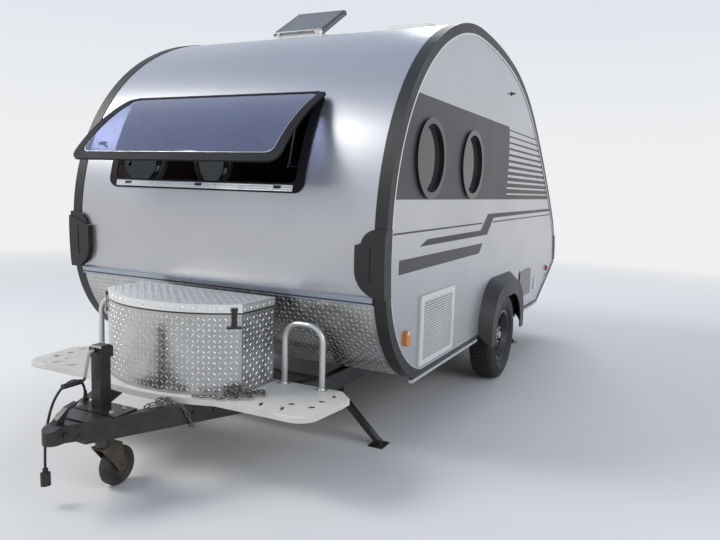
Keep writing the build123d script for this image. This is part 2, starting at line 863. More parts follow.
# Skirts below the side walls, fore and aft of the fenders
skirt_low_z = 396.0
skirt_thick = 20.0
skirt_inset = 20.0
skirt_gap = 8.0
skirt_top_z = sill_z - trim_thick - skin_gap
skirt_spans = ((wheel_x + fender_root_half + skirt_gap, front_foot_x - skirt_inset),
               (chamfer_end_x + skirt_inset, wheel_x - fender_root_half - skirt_gap))
skirt_boards = [box(span, (half - skirt_thick, half), (skirt_low_z, skirt_top_z)) for span in skirt_spans]
skirts = both(skirt_boards[0] + skirt_boards[1])

# Belt moulding and stone guard between the edge trims
guard_half = half - trim_wide - 1
belt_zone = rect(seam_hub[0], nose_x, belt_low_z, belt_high_z)
guard_zone = rect(floor_front_x, nose_x, sill_z, belt_low_z - 1)
belt_moulding = slab(ring_face(belt_thick, -skin_gap) & belt_zone, -guard_half, guard_half)
stone_guard = slab(ring_face(guard_thick, -skin_gap) & guard_zone, -guard_half, guard_half)


def corner_outline(inset, low_z, high_z, low_round, high_round):
    # Front view of a corner housing, in Y and Z: round inner corners and a straight outer edge.
    inner_y = half - inset
    outer_y = half + housing_side_proud + 1
    low_lift = low_round * (1 - math.sqrt(0.5))
    high_lift = high_round * (1 - math.sqrt(0.5))
    low_start, low_stop = (inner_y + low_round, low_z), (inner_y, low_z + low_round)
    high_start, high_stop = (inner_y, high_z - high_round), (inner_y + high_round, high_z)
    return make_face([
        Line((outer_y, low_z), low_start),
        ThreePointArc(low_start, (inner_y + low_lift, low_z + low_lift), low_stop),
        Line(low_stop, high_start),
        ThreePointArc(high_start, (inner_y + high_lift, high_z - high_lift), high_stop),
        Line(high_stop, (outer_y, high_z)),
        Line((outer_y, high_z), (outer_y, low_z)),
    ])


def through(way, face):
    # A face drawn in Y and Z, made solid from the cabin's middle out past its end.
    return Pos(seam_hub[0], 0, 0) * extrude(Plane.YZ * face, nose_x + beyond_x, dir=(way, 0, 0))


over_trim = trim_thick + skin_gap
trim_edge_y = half - trim_wide - 1


def corner_shape(way, face, proud):
    # A housing with the given front view that wraps a corner of the cabin over its edge trim.
    low_y = half / 2
    shape = slab(ring_face(proud, -skin_gap), low_y, trim_edge_y)
    shape = shape + slab(ring_face(proud, -over_trim), trim_edge_y, half + over_trim)
    side_band = ring_face(proud, trim_wide - bead_wide - 1)
    shape = shape + slab(side_band, half + over_trim, half + housing_side_proud)
    return shape & through(way, face)


housing_low_z = belt_high_z + skin_gap
lower_face = corner_outline(housing_inset, housing_low_z, housing_high_z, housing_low_round, 1.0)
ledge_end_y = half + 2 * housing_side_proud
ledge_end_z = housing_ledge_z + housing_ledge_rise * (ledge_end_y - half + housing_inset)
ledge_start_y = half - housing_inset - 1
lower_face = lower_face - polygon(((ledge_start_y, housing_ledge_z), (ledge_end_y, ledge_end_z),
                                   (ledge_end_y, housing_high_z + 1), (ledge_start_y, housing_high_z + 1)))
upper_face = corner_outline(housing_upper_inset, housing_ledge_z - housing_high_round, housing_high_z, 1.0,
                            housing_high_round)
groove_y = half - groove_inset
groove_face = rect(groove_y - groove_width / 2, groove_y + groove_width / 2, groove_low_z, groove_high_z)
groove = slab(ring_face(housing_proud + 1, groove_depth - housing_proud), groove_y - groove_width, half)
front_housing = corner_shape(1, lower_face, housing_proud) + corner_shape(1, upper_face, housing_upper_proud)
front_housing = front_housing - (groove & through(1, groove_face))
tail_face = corner_outline(tail_housing_inset, tail_housing_low_z, tail_housing_high_z, tail_housing_round,
                           tail_housing_round)
tail_housing = corner_shape(-1, tail_face, tail_housing_proud)
lamp_face = Pos(half - tail_lamp_inset + tail_lamp_width / 2, (tail_lamp_low_z + tail_lamp_high_z) / 2) * (
    RectangleRounded(tail_lamp_width, tail_lamp_high_z - tail_lamp_low_z, tail_lamp_width * marker_round))
lamp_band = slab(ring_face(tail_housing_proud + tail_lamp_proud, -tail_housing_proud - skin_gap), 0, half)
tail_lamp = lamp_band & through(-1, lamp_face)

# Round windows
def porthole_ring(side, x):
    flange = disc(x, porthole_z, porthole_outer) - disc(x, porthole_z, porthole_bore)
    neck = disc(x, porthole_z, porthole_hole - 2 * skin_gap) - disc(x, porthole_z, porthole_bore)
    return on_wall(side, flange, skin_gap, porthole_ring_thick) + on_wall(side, neck, -wall, skin_gap)


def porthole_pane(side, x):
    glass = disc(x, porthole_z, porthole_bore - 2 * skin_gap)
    return on_wall(side, glass, -wall / 2, -wall / 2 + porthole_pane_thick)


porthole_rings = [porthole_ring(1, x) for x in porthole_xs_left] + [porthole_ring(-1, porthole_x_right)]
porthole_panes = [porthole_pane(1, x) for x in porthole_xs_left] + [porthole_pane(-1, porthole_x_right)]

# Door in the right wall: panel, its round window and the frame that carries its hinge pins
door_face = rect(door_low_x + move_gap, door_high_x - move_gap, door_low_z + move_gap, door_high_z - move_gap,
                 door_corner - move_gap)
door = on_wall(-1, door_face - disc(door_window_x, porthole_z, porthole_hole), -wall, 0)
door_ring = porthole_ring(-1, door_window_x)
door_pane = porthole_pane(-1, door_window_x)
frame_face = rect(door_low_x - door_frame_wide, door_high_x + door_frame_wide, door_low_z - door_sill_lap,
                  door_high_z + door_frame_wide, door_corner + door_frame_wide)
frame_face = frame_face - rect(door_low_x, door_high_x, door_low_z, door_high_z, door_corner)
door_frame = on_wall(-1, frame_face, skin_gap, door_frame_thick)
door_axis_x = door_high_x + 2
door_axis_y = -(half + door_frame_thick + door_knuckle_radius + 1)


def door_bar(low, high, radius):
    # A round bar on the door's hinge line.
    return rod((door_axis_x, door_axis_y, low), (door_axis_x, door_axis_y, high), radius)


for z in door_hinge_zs:
    third = door_hinge_height / 3
    for low in (z - third * 1.5, z + third * 0.5):
        leaf = box((door_axis_x - 2, door_axis_x + 2 + door_hinge_leaf), (door_axis_y, -(half + skin_gap)),
                   (low, low + third))
        door_frame = door_frame + door_bar(low, low + third, door_knuckle_radius) + leaf
    door_frame = door_frame + door_bar(z - third * 1.5, z + third * 1.5, door_pin_radius)
    low, high = z - third / 2 + knuckle_gap, z + third / 2 - knuckle_gap
    depth = (door_axis_y - 4, door_axis_y + 2)
    strap = box((door_axis_x - door_strap_reach, door_axis_x), depth, (low, high))
    pad_span = (door_axis_x - door_strap_reach, door_axis_x - door_pad_reach)
    pad = box(pad_span, (door_axis_y - 4, -half), (low, high))
    bore = door_bar(low - 1, high + 1, door_pin_radius + pin_gap)
    door = door + ((door_bar(low, high, door_knuckle_radius) + strap + pad) - bore)
handle_low_x = door_low_x + handle_inset
handle_low_z, handle_high_z = handle_z - handle_height / 2, handle_z + handle_height / 2
handle_face = rect(handle_low_x, handle_low_x + handle_width, handle_low_z, handle_high_z, handle_corner)
recess_face = rect(handle_low_x + recess_side, handle_low_x + handle_width - recess_side,
                   handle_low_z + recess_end, handle_high_z - recess_end, recess_corner)
recess = on_wall(-1, recess_face, recess_floor, handle_thick + 1)
door_handle = on_wall(-1, handle_face, skin_gap, handle_thick) - recess

# Louvred vent panel: a frame in the wall with slanted blades and a back tray
vent_outer = rect(vent_low_x, vent_high_x, vent_low_z, vent_high_z, vent_corner)
vent_liner = vent_opening(skin_gap)
vent_clear = vent_opening(vent_lining)
side_vent = on_wall(1, vent_outer - vent_clear, skin_gap, vent_proud)
side_vent = side_vent + on_wall(1, vent_liner - vent_clear, -wall, skin_gap)
side_vent = side_vent + on_wall(1, vent_liner, -wall - vent_back, -wall)
blade_low, blade_high = vent_open_z[0] + vent_lining, vent_open_z[1] - vent_lining
blade_start, blade_stop = vent_open_x[0] + vent_lining, vent_open_x[1] - vent_lining
blade_count = int((blade_high - blade_low) / louvre_pitch)
blade_step = (blade_high - blade_low) / blade_count
blade_front_y = half + vent_proud - louvre_inset
blade_back_y = blade_front_y - louvre_depth
for index in range(blade_count):
    z = blade_low + (index + 0.5) * blade_step
    low_z, high_z = z - louvre_lip / 2, z + louvre_lip / 2
    back_z = low_z + louvre_rise
    blade = Plane.YZ * polygon(((blade_front_y, low_z), (blade_front_y, high_z),
                                (blade_back_y, back_z + louvre_edge), (blade_back_y, back_z)))
    side_vent = side_vent + Pos(blade_start, 0, 0) * extrude(blade, blade_stop - blade_start, dir=(1, 0, 0))

# Inlet hatch: a round inlet in the wall's pocket, a small fixed hatch behind it and the flap's hinge leaf
flap_low_x = hatch_low_x - flap_over
flap_high_x = hatch_high_x + flap_over
flap_axis_y = half + skin_gap + flap_knuckle_radius
flap_axis_z = hatch_high_z + 20
flap_mid_x = (hatch_low_x + hatch_high_x) / 2
hatch_mid_z = (hatch_low_z + hatch_high_z) / 2
inlet_tube = disc(flap_mid_x, hatch_mid_z, inlet_outer) - disc(flap_mid_x, hatch_mid_z, inlet_bore)
inlet_face = disc(flap_mid_x, hatch_mid_z, inlet_flange)
inlet = on_wall(1, inlet_face, -hatch_depth, inlet_flange_thick - hatch_depth)
inlet = inlet + on_wall(1, inlet_tube, inlet_flange_thick - hatch_depth, -inlet_recess)


def centred(middle, size, corner):
    # A rectangle in X and Z about a middle point.
    x, z = middle
    return rect(x - size[0] / 2, x + size[0] / 2, z - size[1] / 2, z + size[1] / 2, corner)


small_hatch_size = (small_hatch_width, small_hatch_height)
small_hatch_face = centred((small_hatch_x, small_hatch_z), small_hatch_size, hatch_corner)
small_hatch = on_wall(1, small_hatch_face, skin_gap, small_hatch_proud)
pin_low_x, pin_high_x = flap_low_x + 10, flap_high_x - 10


def flap_bar(low_x, high_x, radius):
    # A round bar on the flap's hinge line.
    return rod((low_x, flap_axis_y, flap_axis_z), (high_x, flap_axis_y, flap_axis_z), radius)


leaf_y = (half + skin_gap, half + 3)
flap_leaf = box((pin_low_x, pin_high_x), leaf_y, (flap_axis_z + flap_knuckle_radius + 0.5, flap_axis_z + 22))
flap_leaf = flap_leaf + flap_bar(pin_low_x + 10, pin_high_x - 10, flap_pin_radius)
for low in (pin_low_x, pin_high_x - flap_ear):
    arm = box((low, low + flap_ear), leaf_y, (flap_axis_z, flap_axis_z + 10))
    flap_leaf = flap_leaf + flap_bar(low, low + flap_ear, flap_knuckle_radius) + arm
service_fittings = [inlet, small_hatch, flap_leaf]
tube_low_x, tube_high_x = pin_low_x + flap_ear + knuckle_gap, pin_high_x - flap_ear - knuckle_gap
flap_plate = box((flap_low_x, flap_high_x), (half + skin_gap + 0.5, half + flap_thick),
                 (hatch_low_z - flap_over, flap_axis_z - 7))
flap_plate = fillet(flap_plate.edges().filter_by(Axis.Y), flap_corner)
flap_tube = flap_bar(tube_low_x, tube_high_x, flap_knuckle_radius)
flap_neck = box((tube_low_x, tube_high_x), (half + 2, half + 7), (flap_axis_z - 8, flap_axis_z - 2))
flap_bore = flap_bar(flap_low_x, flap_high_x, flap_pin_radius + pin_gap)
hatch_flap = (flap_plate + flap_tube + flap_neck) - flap_bore

# Roof vent: a square base through the roof, with a lid hinged at its front edge
vent_half = roof_vent_size / 2
throat_half = roof_vent_hole / 2
vent_front_x = roof_vent_x + vent_half


def roof_block(reach, low_z, high_z):
    # A square block about the roof vent's middle.
    span_x = (roof_vent_x - reach, roof_vent_x + reach)
    span_y = (roof_vent_y - reach, roof_vent_y + reach)
    return box(span_x, span_y, (low_z, high_z))


below_roof_z = crown_z - wall - cut_reach
roof = roof - roof_block(throat_half + throat_wall + skin_gap, below_roof_z, roof_vent_top_z)
cabin_body = slab(outline(-skin_gap), -half, half)
vent_curb = roof_block(vent_half, below_roof_z, roof_vent_top_z) - cabin_body
vent_throat = roof_block(throat_half + throat_wall, crown_z - wall - 16, roof_vent_top_z - throat_wall)
roof_vent_base = (vent_curb + vent_throat) - roof_block(throat_half, below_roof_z, roof_vent_top_z + 1)
roof_axis_x = vent_front_x + roof_pin_out
roof_axis_z = roof_vent_top_z + roof_pin_up
lid_pin_half = vent_half - roof_pin_inset


def roof_bar(low, high, radius):
    # A round bar on the vent lid's hinge line, its ends measured from the vent's middle.
    low_end = (roof_axis_x, roof_vent_y + low, roof_axis_z)
    high_end = (roof_axis_x, roof_vent_y + high, roof_axis_z)
    return rod(low_end, high_end, radius)


roof_vent_base = roof_vent_base + roof_bar(-lid_pin_half, lid_pin_half, roof_pin_radius)
for low in (-lid_pin_half, lid_pin_half - roof_lug):
    lug = box((vent_front_x - 6, roof_axis_x), (roof_vent_y + low, roof_vent_y + low + roof_lug),
              (roof_axis_z - 16, roof_axis_z))
    roof_vent_base = roof_vent_base + lug + roof_bar(low, low + roof_lug, roof_knuckle_radius)
lid_side = vent_half + move_gap
lid_outer_side = lid_side + roof_lid_wall
lid_plate_z = roof_vent_top_z + roof_pin_up
lid_block = box((roof_vent_x - lid_outer_side, vent_front_x),
                (roof_vent_y - lid_outer_side, roof_vent_y + lid_outer_side),
                (lid_plate_z - roof_lid_skirt, lid_plate_z + roof_lid_thick))
lid_block = chamfer(lid_block.faces().sort_by(Axis.Z)[-1].edges(), roof_lid_edge)
lid_void = roof_block(lid_side, lid_plate_z - cut_reach, lid_plate_z)
tube_reach = lid_pin_half - roof_lug - 1
lid_strap = box((vent_front_x - 4, roof_axis_x), (roof_vent_y - tube_reach, roof_vent_y + tube_reach),
                (roof_axis_z + 0.5, roof_axis_z + roof_knuckle_radius))
lid_tube = roof_bar(-tube_reach, tube_reach, roof_knuckle_radius)
lid_bore = roof_bar(-lid_pin_half, lid_pin_half, roof_pin_radius + pin_gap)
roof_lid_closed = ((lid_block - lid_void) + lid_tube + lid_strap) - lid_bore
roof_vent_lid = turned(roof_lid_closed, (roof_axis_x, roof_axis_z), -roof_vent_open)

# Roof cap, seated on the skin
cap_block = box((cap_x - cap_length / 2, cap_x + cap_length / 2),
                (cap_y - cap_width / 2, cap_y + cap_width / 2),
                (crown_z - cap_root, crown_z + cap_height))
cap_block = fillet(cap_block.edges().filter_by(Axis.Z), cap_corner)
cap_block = fillet(cap_block.faces().sort_by(Axis.Z)[-1].edges(), cap_edge)
roof_cap = cap_block - cabin_body

# Marker lamps on the side walls and the tail
marker_lamps = [tail_lamp, mirror_y(tail_lamp)]
for side in (1, -1):
    for middle, size in ((front_marker, front_marker_size), (rear_marker, rear_marker_size)):
        lamp = centred(middle, size, min(size) * marker_round)
        marker_lamps.append(on_wall(side, lamp, skin_gap, marker_proud))

# Chassis: rails, tongue beams and the bars across them
slope = (rail_y - tongue_front_y) / (tongue_front_x - rail_front_x)
cut_half = beam_width / 2 * math.hypot(1, slope)
rail = box((rail_rear_x, rail_front_x), (rail_y - beam_width / 2, rail_y + beam_width / 2),
           (beam_bottom_z, beam_top_z))
tongue_face = polygon(((tongue_front_x, tongue_front_y - cut_half),
                       (tongue_front_x, tongue_front_y + cut_half),
                       (rail_front_x, rail_y + cut_half), (rail_front_x, rail_y - cut_half)))
tongue_beams = both(Pos(0, 0, beam_bottom_z) * extrude(tongue_face, beam_height))
bearer_half = half - trim_wide - 6
tube_reach_y = rail_y - beam_width / 2
cross_members = []
for x in bearer_xs:
    cross_members.append(box((x - bearer_width / 2, x + bearer_width / 2), (-bearer_half, bearer_half),
                             (beam_top_z, sill_z)))
for x in cross_tube_xs:
    span_x = (x - cross_tube_width / 2, x + cross_tube_width / 2)
    cross_members.append(box(span_x, (-tube_reach_y, tube_reach_y),
                             (beam_bottom_z + cross_tube_up, beam_top_z - cross_tube_down)))

# Axle: a tube under the rails with trailing arms, spindles and brake back plates
axle_x = wheel_x + axle_arm_reach
axle_z = beam_bottom_z - axle_tube / 2
spindle_end_y = wheel_y + spindle_past
arm_outer_y = axle_half + arm_thick
axle_beam = box((axle_x - axle_tube / 2, axle_x + axle_tube / 2), (-axle_half, axle_half),
                (axle_z - axle_tube / 2, axle_z + axle_tube / 2))
axle_beam = chamfer(axle_beam.edges().filter_by(Axis.Y), axle_chamfer)
arm_pivot = Pos(axle_x, axle_z) * Circle(arm_pivot_radius)
arm_eye = Pos(wheel_x, tyre_radius) * Circle(arm_eye_radius)
arm = slab(make_hull(arm_pivot.edges() + arm_eye.edges()), axle_half, arm_outer_y)
wheel_centre = (wheel_x, tyre_radius)
spindle = across(arm_outer_y - 1, spindle_end_y, spindle_radius, wheel_centre)
back_plate = across(arm_outer_y, arm_outer_y + back_plate_thick, drum_radius - back_plate_gap, wheel_centre)
axle_end = arm + spindle + back_plate
axle_beam = axle_beam + axle_end + mirror_y(axle_end)


def spun(points):
    # A closed profile of points (distance outward, radius), spun about the left wheel's axle line.
    face = Plane(origin=(0, 0, 0), x_dir=(0, 1, 0), z_dir=(-1, 0, 0)) * polygon(points)
    return revolve(face, Axis.Y)


# Tyre: a hollow ring, open at the bead. Columns: distance outward from its middle, radius
side_reach = tyre_width / 2
bead_radius = rim_radius + skin_gap
tyre_outside = (
    (-67, bead_radius), (-68, 205.5), (-80, 211), (-side_reach, 262), (-side_reach + 6, 300),
    (-78, tyre_radius - 6), (-62, tyre_radius), (62, tyre_radius), (78, tyre_radius - 6),
    (side_reach - 6, 300), (side_reach, 262), (80, 211), (68, 205.5), (67, bead_radius))
tyre_inside = (
    (54, bead_radius), (56, 210), (side_reach - 12, 258), (side_reach - 16, 296), (64, tyre_radius - 18),
    (-64, tyre_radius - 18), (-side_reach + 16, 296), (-side_reach + 12, 258), (-56, 210), (-54, bead_radius))
wheel_middle = Pos(wheel_x, wheel_y, tyre_radius)
tyre = wheel_middle * spun(tyre_outside + tyre_inside)

# Rim, brake drum and hub in one piece: the rim's disc carries five windows and five nuts
rim_half = rim_width / 2
drum_back = -hub_reach
spindle_bore = spindle_radius + pin_gap
rim_outside = (
    (-rim_half, rim_radius + 14), (-rim_half + 6, rim_radius + 14), (-rim_half + 8, rim_radius),
    (-30, rim_radius - 4), (-18, rim_radius - 20), (30, rim_radius - 20), (42, rim_radius - 2),
    (rim_half - 8, rim_radius), (rim_half - 6, rim_radius + 14), (rim_half, rim_radius + 14))
rim_front = (
    (rim_half, rim_radius - 8), (36, rim_radius - 26), (30, 110), (14, 70), (14, hub_radius), (44, 40),
    (48, 0), (spindle_past + 2, 0), (spindle_past + 2, spindle_bore), (drum_back, spindle_bore))
drum_profile = (
    (drum_back, hub_radius), (drum_back + 12, hub_radius + 6), (drum_back + 12, drum_radius - 8),
    (drum_back, drum_radius - 8), (drum_back, drum_radius), (-2, drum_radius))
rim_back = (
    (0, 60), (2, 80), (18, 112), (22, rim_radius - 30), (-22, rim_radius - 30), (-36, rim_radius - 12),
    (-rim_half, rim_radius - 8))
wheel_rim = spun(rim_outside + rim_front + drum_profile + rim_back)
spoke_count = 5
rim_window = RectangleRounded(84, 62, 20)
rim_window_radius = 118.0
nut_circle = 114.3
nut_radius = 9.5
window_cutter = extrude(Pos(0, rim_window_radius) * rim_window, rim_width / 2 + hub_face)
for index in range(spoke_count):
    angle = index * 360 / spoke_count
    face_plane = Plane(origin=(0, 1, 0), x_dir=(1, 0, 0), z_dir=(0, 1, 0))
    wheel_rim = wheel_rim - face_plane * (Rot(0, 0, angle) * window_cutter)
for index in range(spoke_count):
    angle = math.radians((index + 0.5) * 360 / spoke_count)
    x, z = nut_circle / 2 * math.sin(angle), nut_circle / 2 * math.cos(angle)
    wheel_rim = wheel_rim + rod((x, hub_face - 2, z), (x, hub_face + 20, z), nut_radius)
wheel_rim = wheel_middle * wheel_rim

# Coupler: a nose block with a ball socket, a plate over the beams' ends and a raised latch lever
neck_x = nose_x - coupler_neck
bow_x = nose_x - coupler_nose_half
nose_face = make_face([
    Line((tongue_front_x, -coupler_half), (tongue_front_x, coupler_half)),
    Line((tongue_front_x, coupler_half), (neck_x, coupler_nose_half)),
    Line((neck_x, coupler_nose_half), (bow_x, coupler_nose_half)),
    ThreePointArc((bow_x, coupler_nose_half), (nose_x, 0), (bow_x, -coupler_nose_half)),
    Line((bow_x, -coupler_nose_half), (neck_x, -coupler_nose_half)),
    Line((neck_x, -coupler_nose_half), (tongue_front_x, -coupler_half)),
])
coupler = Pos(0, 0, coupler_low_z) * extrude(nose_face, beam_top_z - coupler_low_z)
nose_slope = polygon(((nose_x - 60, beam_top_z + 2), (nose_x + 2, beam_top_z - 22),
                      (nose_x + 2, beam_top_z + 2)))
coupler = coupler - slab(nose_slope, -coupler_half, coupler_half)
socket_z = coupler_low_z + coupler_wall
socket = Pos(ball_x, 0, socket_z) * Sphere(ball_radius)
socket_mouth = rod((ball_x, 0, coupler_low_z - 2), (ball_x, 0, socket_z), ball_radius)
void_front_x = ball_x - ball_radius - coupler_wall + 4
void_rear_half, void_front_half = coupler_half - coupler_wall, ball_radius
rear_void = polygon(((tongue_front_x - 1, -void_rear_half), (tongue_front_x - 1, void_rear_half),
                     (void_front_x, void_front_half), (void_front_x, -void_front_half)))
void_height = beam_top_z - coupler_low_z - coupler_wall + 2
coupler = coupler - socket - socket_mouth - Pos(0, 0, coupler_low_z - 2) * extrude(rear_void, void_height)
cover_rear_x = tongue_front_x - cover_length
cover_half = coupler_half + slope * cover_length
cover_face = polygon(((cover_rear_x, -cover_half), (cover_rear_x, cover_half),
                      (tongue_front_x + 6, coupler_half), (tongue_front_x + 6, -coupler_half)))
cover = Pos(0, 0, beam_top_z) * extrude(cover_face, coupler_plate)
lever_x = nose_x - lever_back
# Columns: forward of the lever's foot, above the tongue's top
lever_points = ((-16, -4), (26, -4), (16, 22), (-40, 62), (-96, 74), (-92, 64), (-44, 50))
lever_face = polygon([(lever_x + x, beam_top_z + z) for x, z in lever_points])
coupler = coupler + cover + slab(lever_face, -lever_half, lever_half)

# Jack: square tube, head and flange, with a round leg that slides in it
tube_half = jack_tube_size / 2
bore_half = jack_leg_radius + jack_leg_gap
head_half = jack_head_size / 2
flange_top_z = beam_top_z + jack_flange_thick


def jack_block(half_size, low_z, high_z):
    # A square block about the jack's upright line.
    return box((jack_x - half_size, jack_x + half_size), (-half_size, half_size), (low_z, high_z))


jack_tube = jack_block(tube_half, jack_tube_low_z, jack_head_low_z)
jack_tube = jack_tube - jack_block(bore_half, jack_tube_low_z - 1, jack_head_low_z + 1)
crank_boss_x = jack_x + head_half - 6
jack_head = jack_block(head_half, jack_head_low_z, jack_head_top_z)
jack_front = box((crank_boss_x, nose_x), (-head_half, head_half), (jack_head_low_z, jack_head_top_z))
jack_head = jack_head - jack_front
jack_head = chamfer(jack_head.faces().sort_by(Axis.Z)[-1].edges(), jack_head_edge)
flange_half = tongue_front_y + slope * (tongue_front_x - jack_x) + jack_flange_over
jack_flange = box((jack_x - jack_flange_half, jack_x + jack_flange_half), (-flange_half, flange_half),
                  (beam_top_z, flange_top_z))
jack_flange = jack_flange - jack_block(tube_half - 1, beam_top_z - 1, flange_top_z + 1)
crank_boss_end_x = crank_boss_x + crank_boss_length
crank_boss = rod((crank_boss_x - 1, 0, crank_z), (crank_boss_end_x, 0, crank_z), crank_boss_radius)
jack_tube = jack_tube + jack_head + jack_flange + crank_boss
jack_leg = rod((jack_x, 0, jack_leg_low_z), (jack_x, 0, jack_leg_top_z), jack_leg_radius)
jack_leg = jack_leg - rod((jack_x, 0, jack_leg_low_z + jack_leg_end), (jack_x, 0, jack_leg_top_z + 1),
                          jack_leg_radius - jack_leg_wall)

# Crank: shaft, arm and grip, hanging beside the tube
crank_start_x = crank_boss_end_x + skin_gap
crank_arm_x = crank_start_x + crank_arm_out
lean = math.radians(crank_lean)
grip_y, grip_z = -crank_arm * math.sin(lean), crank_z - crank_arm * math.cos(lean)
grip_start_x = crank_arm_x + crank_bend + 4
grip_end_x = grip_start_x + crank_grip
crank_path = FilletPolyline((crank_start_x, 0, crank_z), (crank_arm_x, 0, crank_z),
                            (crank_arm_x, grip_y, grip_z), (grip_end_x - 10, grip_y, grip_z),
                            radius=crank_bend)
crank = sweep(Plane(origin=crank_path @ 0, z_dir=crank_path % 0) * Circle(crank_rod), path=crank_path)
crank = crank + rod((grip_start_x, grip_y, grip_z), (grip_end_x, grip_y, grip_z), crank_grip_radius)

# Caster: a sleeve round the leg's end, a plate, two fork cheeks and a wheel on its pin
axle_caster_x = jack_x - caster_trail
sleeve_low_z = caster_plate_z + fork_plate
plate_rear_x, plate_front_x = jack_x - caster_plate_rear, jack_x + caster_plate_front
cheek_in = caster_width / 2 + fork_gap
cheek_out = cheek_in + fork_plate
caster_fork = pipe((jack_x, 0, sleeve_low_z), (jack_x, 0, caster_sleeve_top_z), caster_sleeve_radius,
                   jack_leg_radius + pin_gap)
caster_fork = caster_fork + box((plate_rear_x, plate_front_x), (-cheek_out, cheek_out),
                                (caster_plate_z, sleeve_low_z))
cheek_face = polygon(((plate_front_x, caster_plate_z + 1), (plate_rear_x, caster_plate_z + 1),
                      (axle_caster_x - 22, caster_radius + 10), (axle_caster_x - 16, caster_radius - 20),
                      (axle_caster_x + 16, caster_radius - 22), (axle_caster_x + 40, caster_radius + 14)))
fork_pin_z = caster_sleeve_top_z - fork_pin_down
for low, high in ((cheek_in, cheek_out), (-cheek_out, -cheek_in)):
    caster_fork = caster_fork + slab(cheek_face, low, high)
caster_fork = caster_fork + across(-cheek_out - fork_pin_out, cheek_out + fork_pin_out, caster_pin_radius,
                                   (axle_caster_x, caster_radius))
pin_start, pin_stop = jack_leg_radius + jack_leg_gap, caster_sleeve_radius + fork_pin_out
for low, high in ((pin_start, pin_stop), (-pin_stop, -pin_start)):
    caster_fork = caster_fork + across(low, high, fork_pin_radius, (jack_x, fork_pin_z))
caster_half = caster_width / 2
caster_bore = caster_pin_radius + pin_gap
caster_profile = (
    (-caster_half, 20), (-18, 24), (-18, 62), (-caster_half, 70), (-caster_half, caster_radius - 9),
    (-14, caster_radius), (14, caster_radius), (caster_half, caster_radius - 9), (caster_half, 70), (18, 62),
    (18, 24), (caster_half, 20), (caster_half, caster_bore), (-caster_half, caster_bore))
caster_wheel = Pos(axle_caster_x, 0, caster_radius) * spun(caster_profile)

# Platform on the tongue beams: an open tray turned upside down, with two ribs under its plate
deck_step_x = deck_front_x - deck_side_step
deck_nose_x = deck_front_x - deck_nose_step
rear_half = deck_rear_half - deck_rear_step
step_in, nose_in, front_in = deck_nose_cuts
right_side = ((deck_rear_x, -rear_half), (deck_rear_x + deck_taper, -deck_rear_half),
              (deck_step_x, -deck_front_half - step_in), (deck_nose_x, -deck_front_half + nose_in),
              (deck_front_x, -deck_front_half + front_in), (deck_front_x, -deck_bow_half))
left_side = tuple((x, -y) for x, y in reversed(right_side))
deck_bow_arc = ThreePointArc(right_side[-1], (deck_front_x + deck_bow, 0), left_side[0])
deck_rear_edge = Line(left_side[-1], right_side[0])
deck_face = make_face([Polyline(*right_side), deck_bow_arc, Polyline(*left_side), deck_rear_edge])
deck_outer = extrude(deck_face, deck_top_z - beam_top_z)
deck_outer = Pos(0, 0, beam_top_z) * deck_outer
deck_under_z = deck_top_z - deck_plate
deck_hollow = extrude(offset(deck_face, -deck_edge), deck_under_z - beam_top_z + 1)
platform = deck_outer - Pos(0, 0, beam_top_z - 1) * deck_hollow
rib_half = deck_front_half - 100
for x in (deck_rear_x + deck_rib_inset, deck_front_x - deck_rib_inset):
    rib_span = (x - deck_rib / 2, x + deck_rib / 2)
    platform = platform + box(rib_span, (-rib_half, rib_half), (beam_top_z, deck_under_z))
for side in (1, -1):
    for back, inset in deck_holes:
        x, y = deck_front_x - back, side * (deck_front_half - inset)
        platform = platform - rod((x, y, beam_top_z - 1), (x, y, deck_top_z + 1), deck_hole_radius)
    for back, inset in deck_slots:
        x, y = deck_front_x - back, side * (deck_front_half - inset)
        slot = extrude(Rot(0, 0, side * slot_turn) * SlotOverall(slot_length, slot_width), 2 * beam_height)
        platform = platform - Pos(x, y, beam_bottom_z) * slot

# U hoops of bent tube
hoops = []
for side in (1, -1):
    ys = [side * hoop_inner_y, side * hoop_outer_y]
    path = FilletPolyline((hoop_x, ys[0], deck_top_z), (hoop_x, ys[0], hoop_top_z - hoop_tube_radius),
                          (hoop_x, ys[1], hoop_top_z - hoop_tube_radius), (hoop_x, ys[1], deck_top_z),
                          radius=hoop_bend)
    hoops.append(sweep(Plane(origin=path @ 0, z_dir=path % 0) * Circle(hoop_tube_radius), path=path))

# Storage tub with a bowed front, its lid on a rear hinge, its seal and two draw latches
def tub_outline(grow, back=0.0):
    # The tub seen from above, its front and sides moved outward by grow and its rear forward by back.
    rear_x, side_y = tub_rear_x + back, tub_half + grow
    bow_tip = (tub_side_x + tub_bow + grow, 0)
    edges = [
        Line((rear_x, -side_y), (tub_side_x, -side_y)),
        ThreePointArc((tub_side_x, -side_y), bow_tip, (tub_side_x, side_y)),
        Line((tub_side_x, side_y), (rear_x, side_y)),
        Line((rear_x, side_y), (rear_x, -side_y)),
    ]
    return Pos(0, tub_mid_y) * make_face(edges)


def tub_block(face, low_z, high_z):
    return Pos(0, 0, low_z) * extrude(face, high_z - low_z)


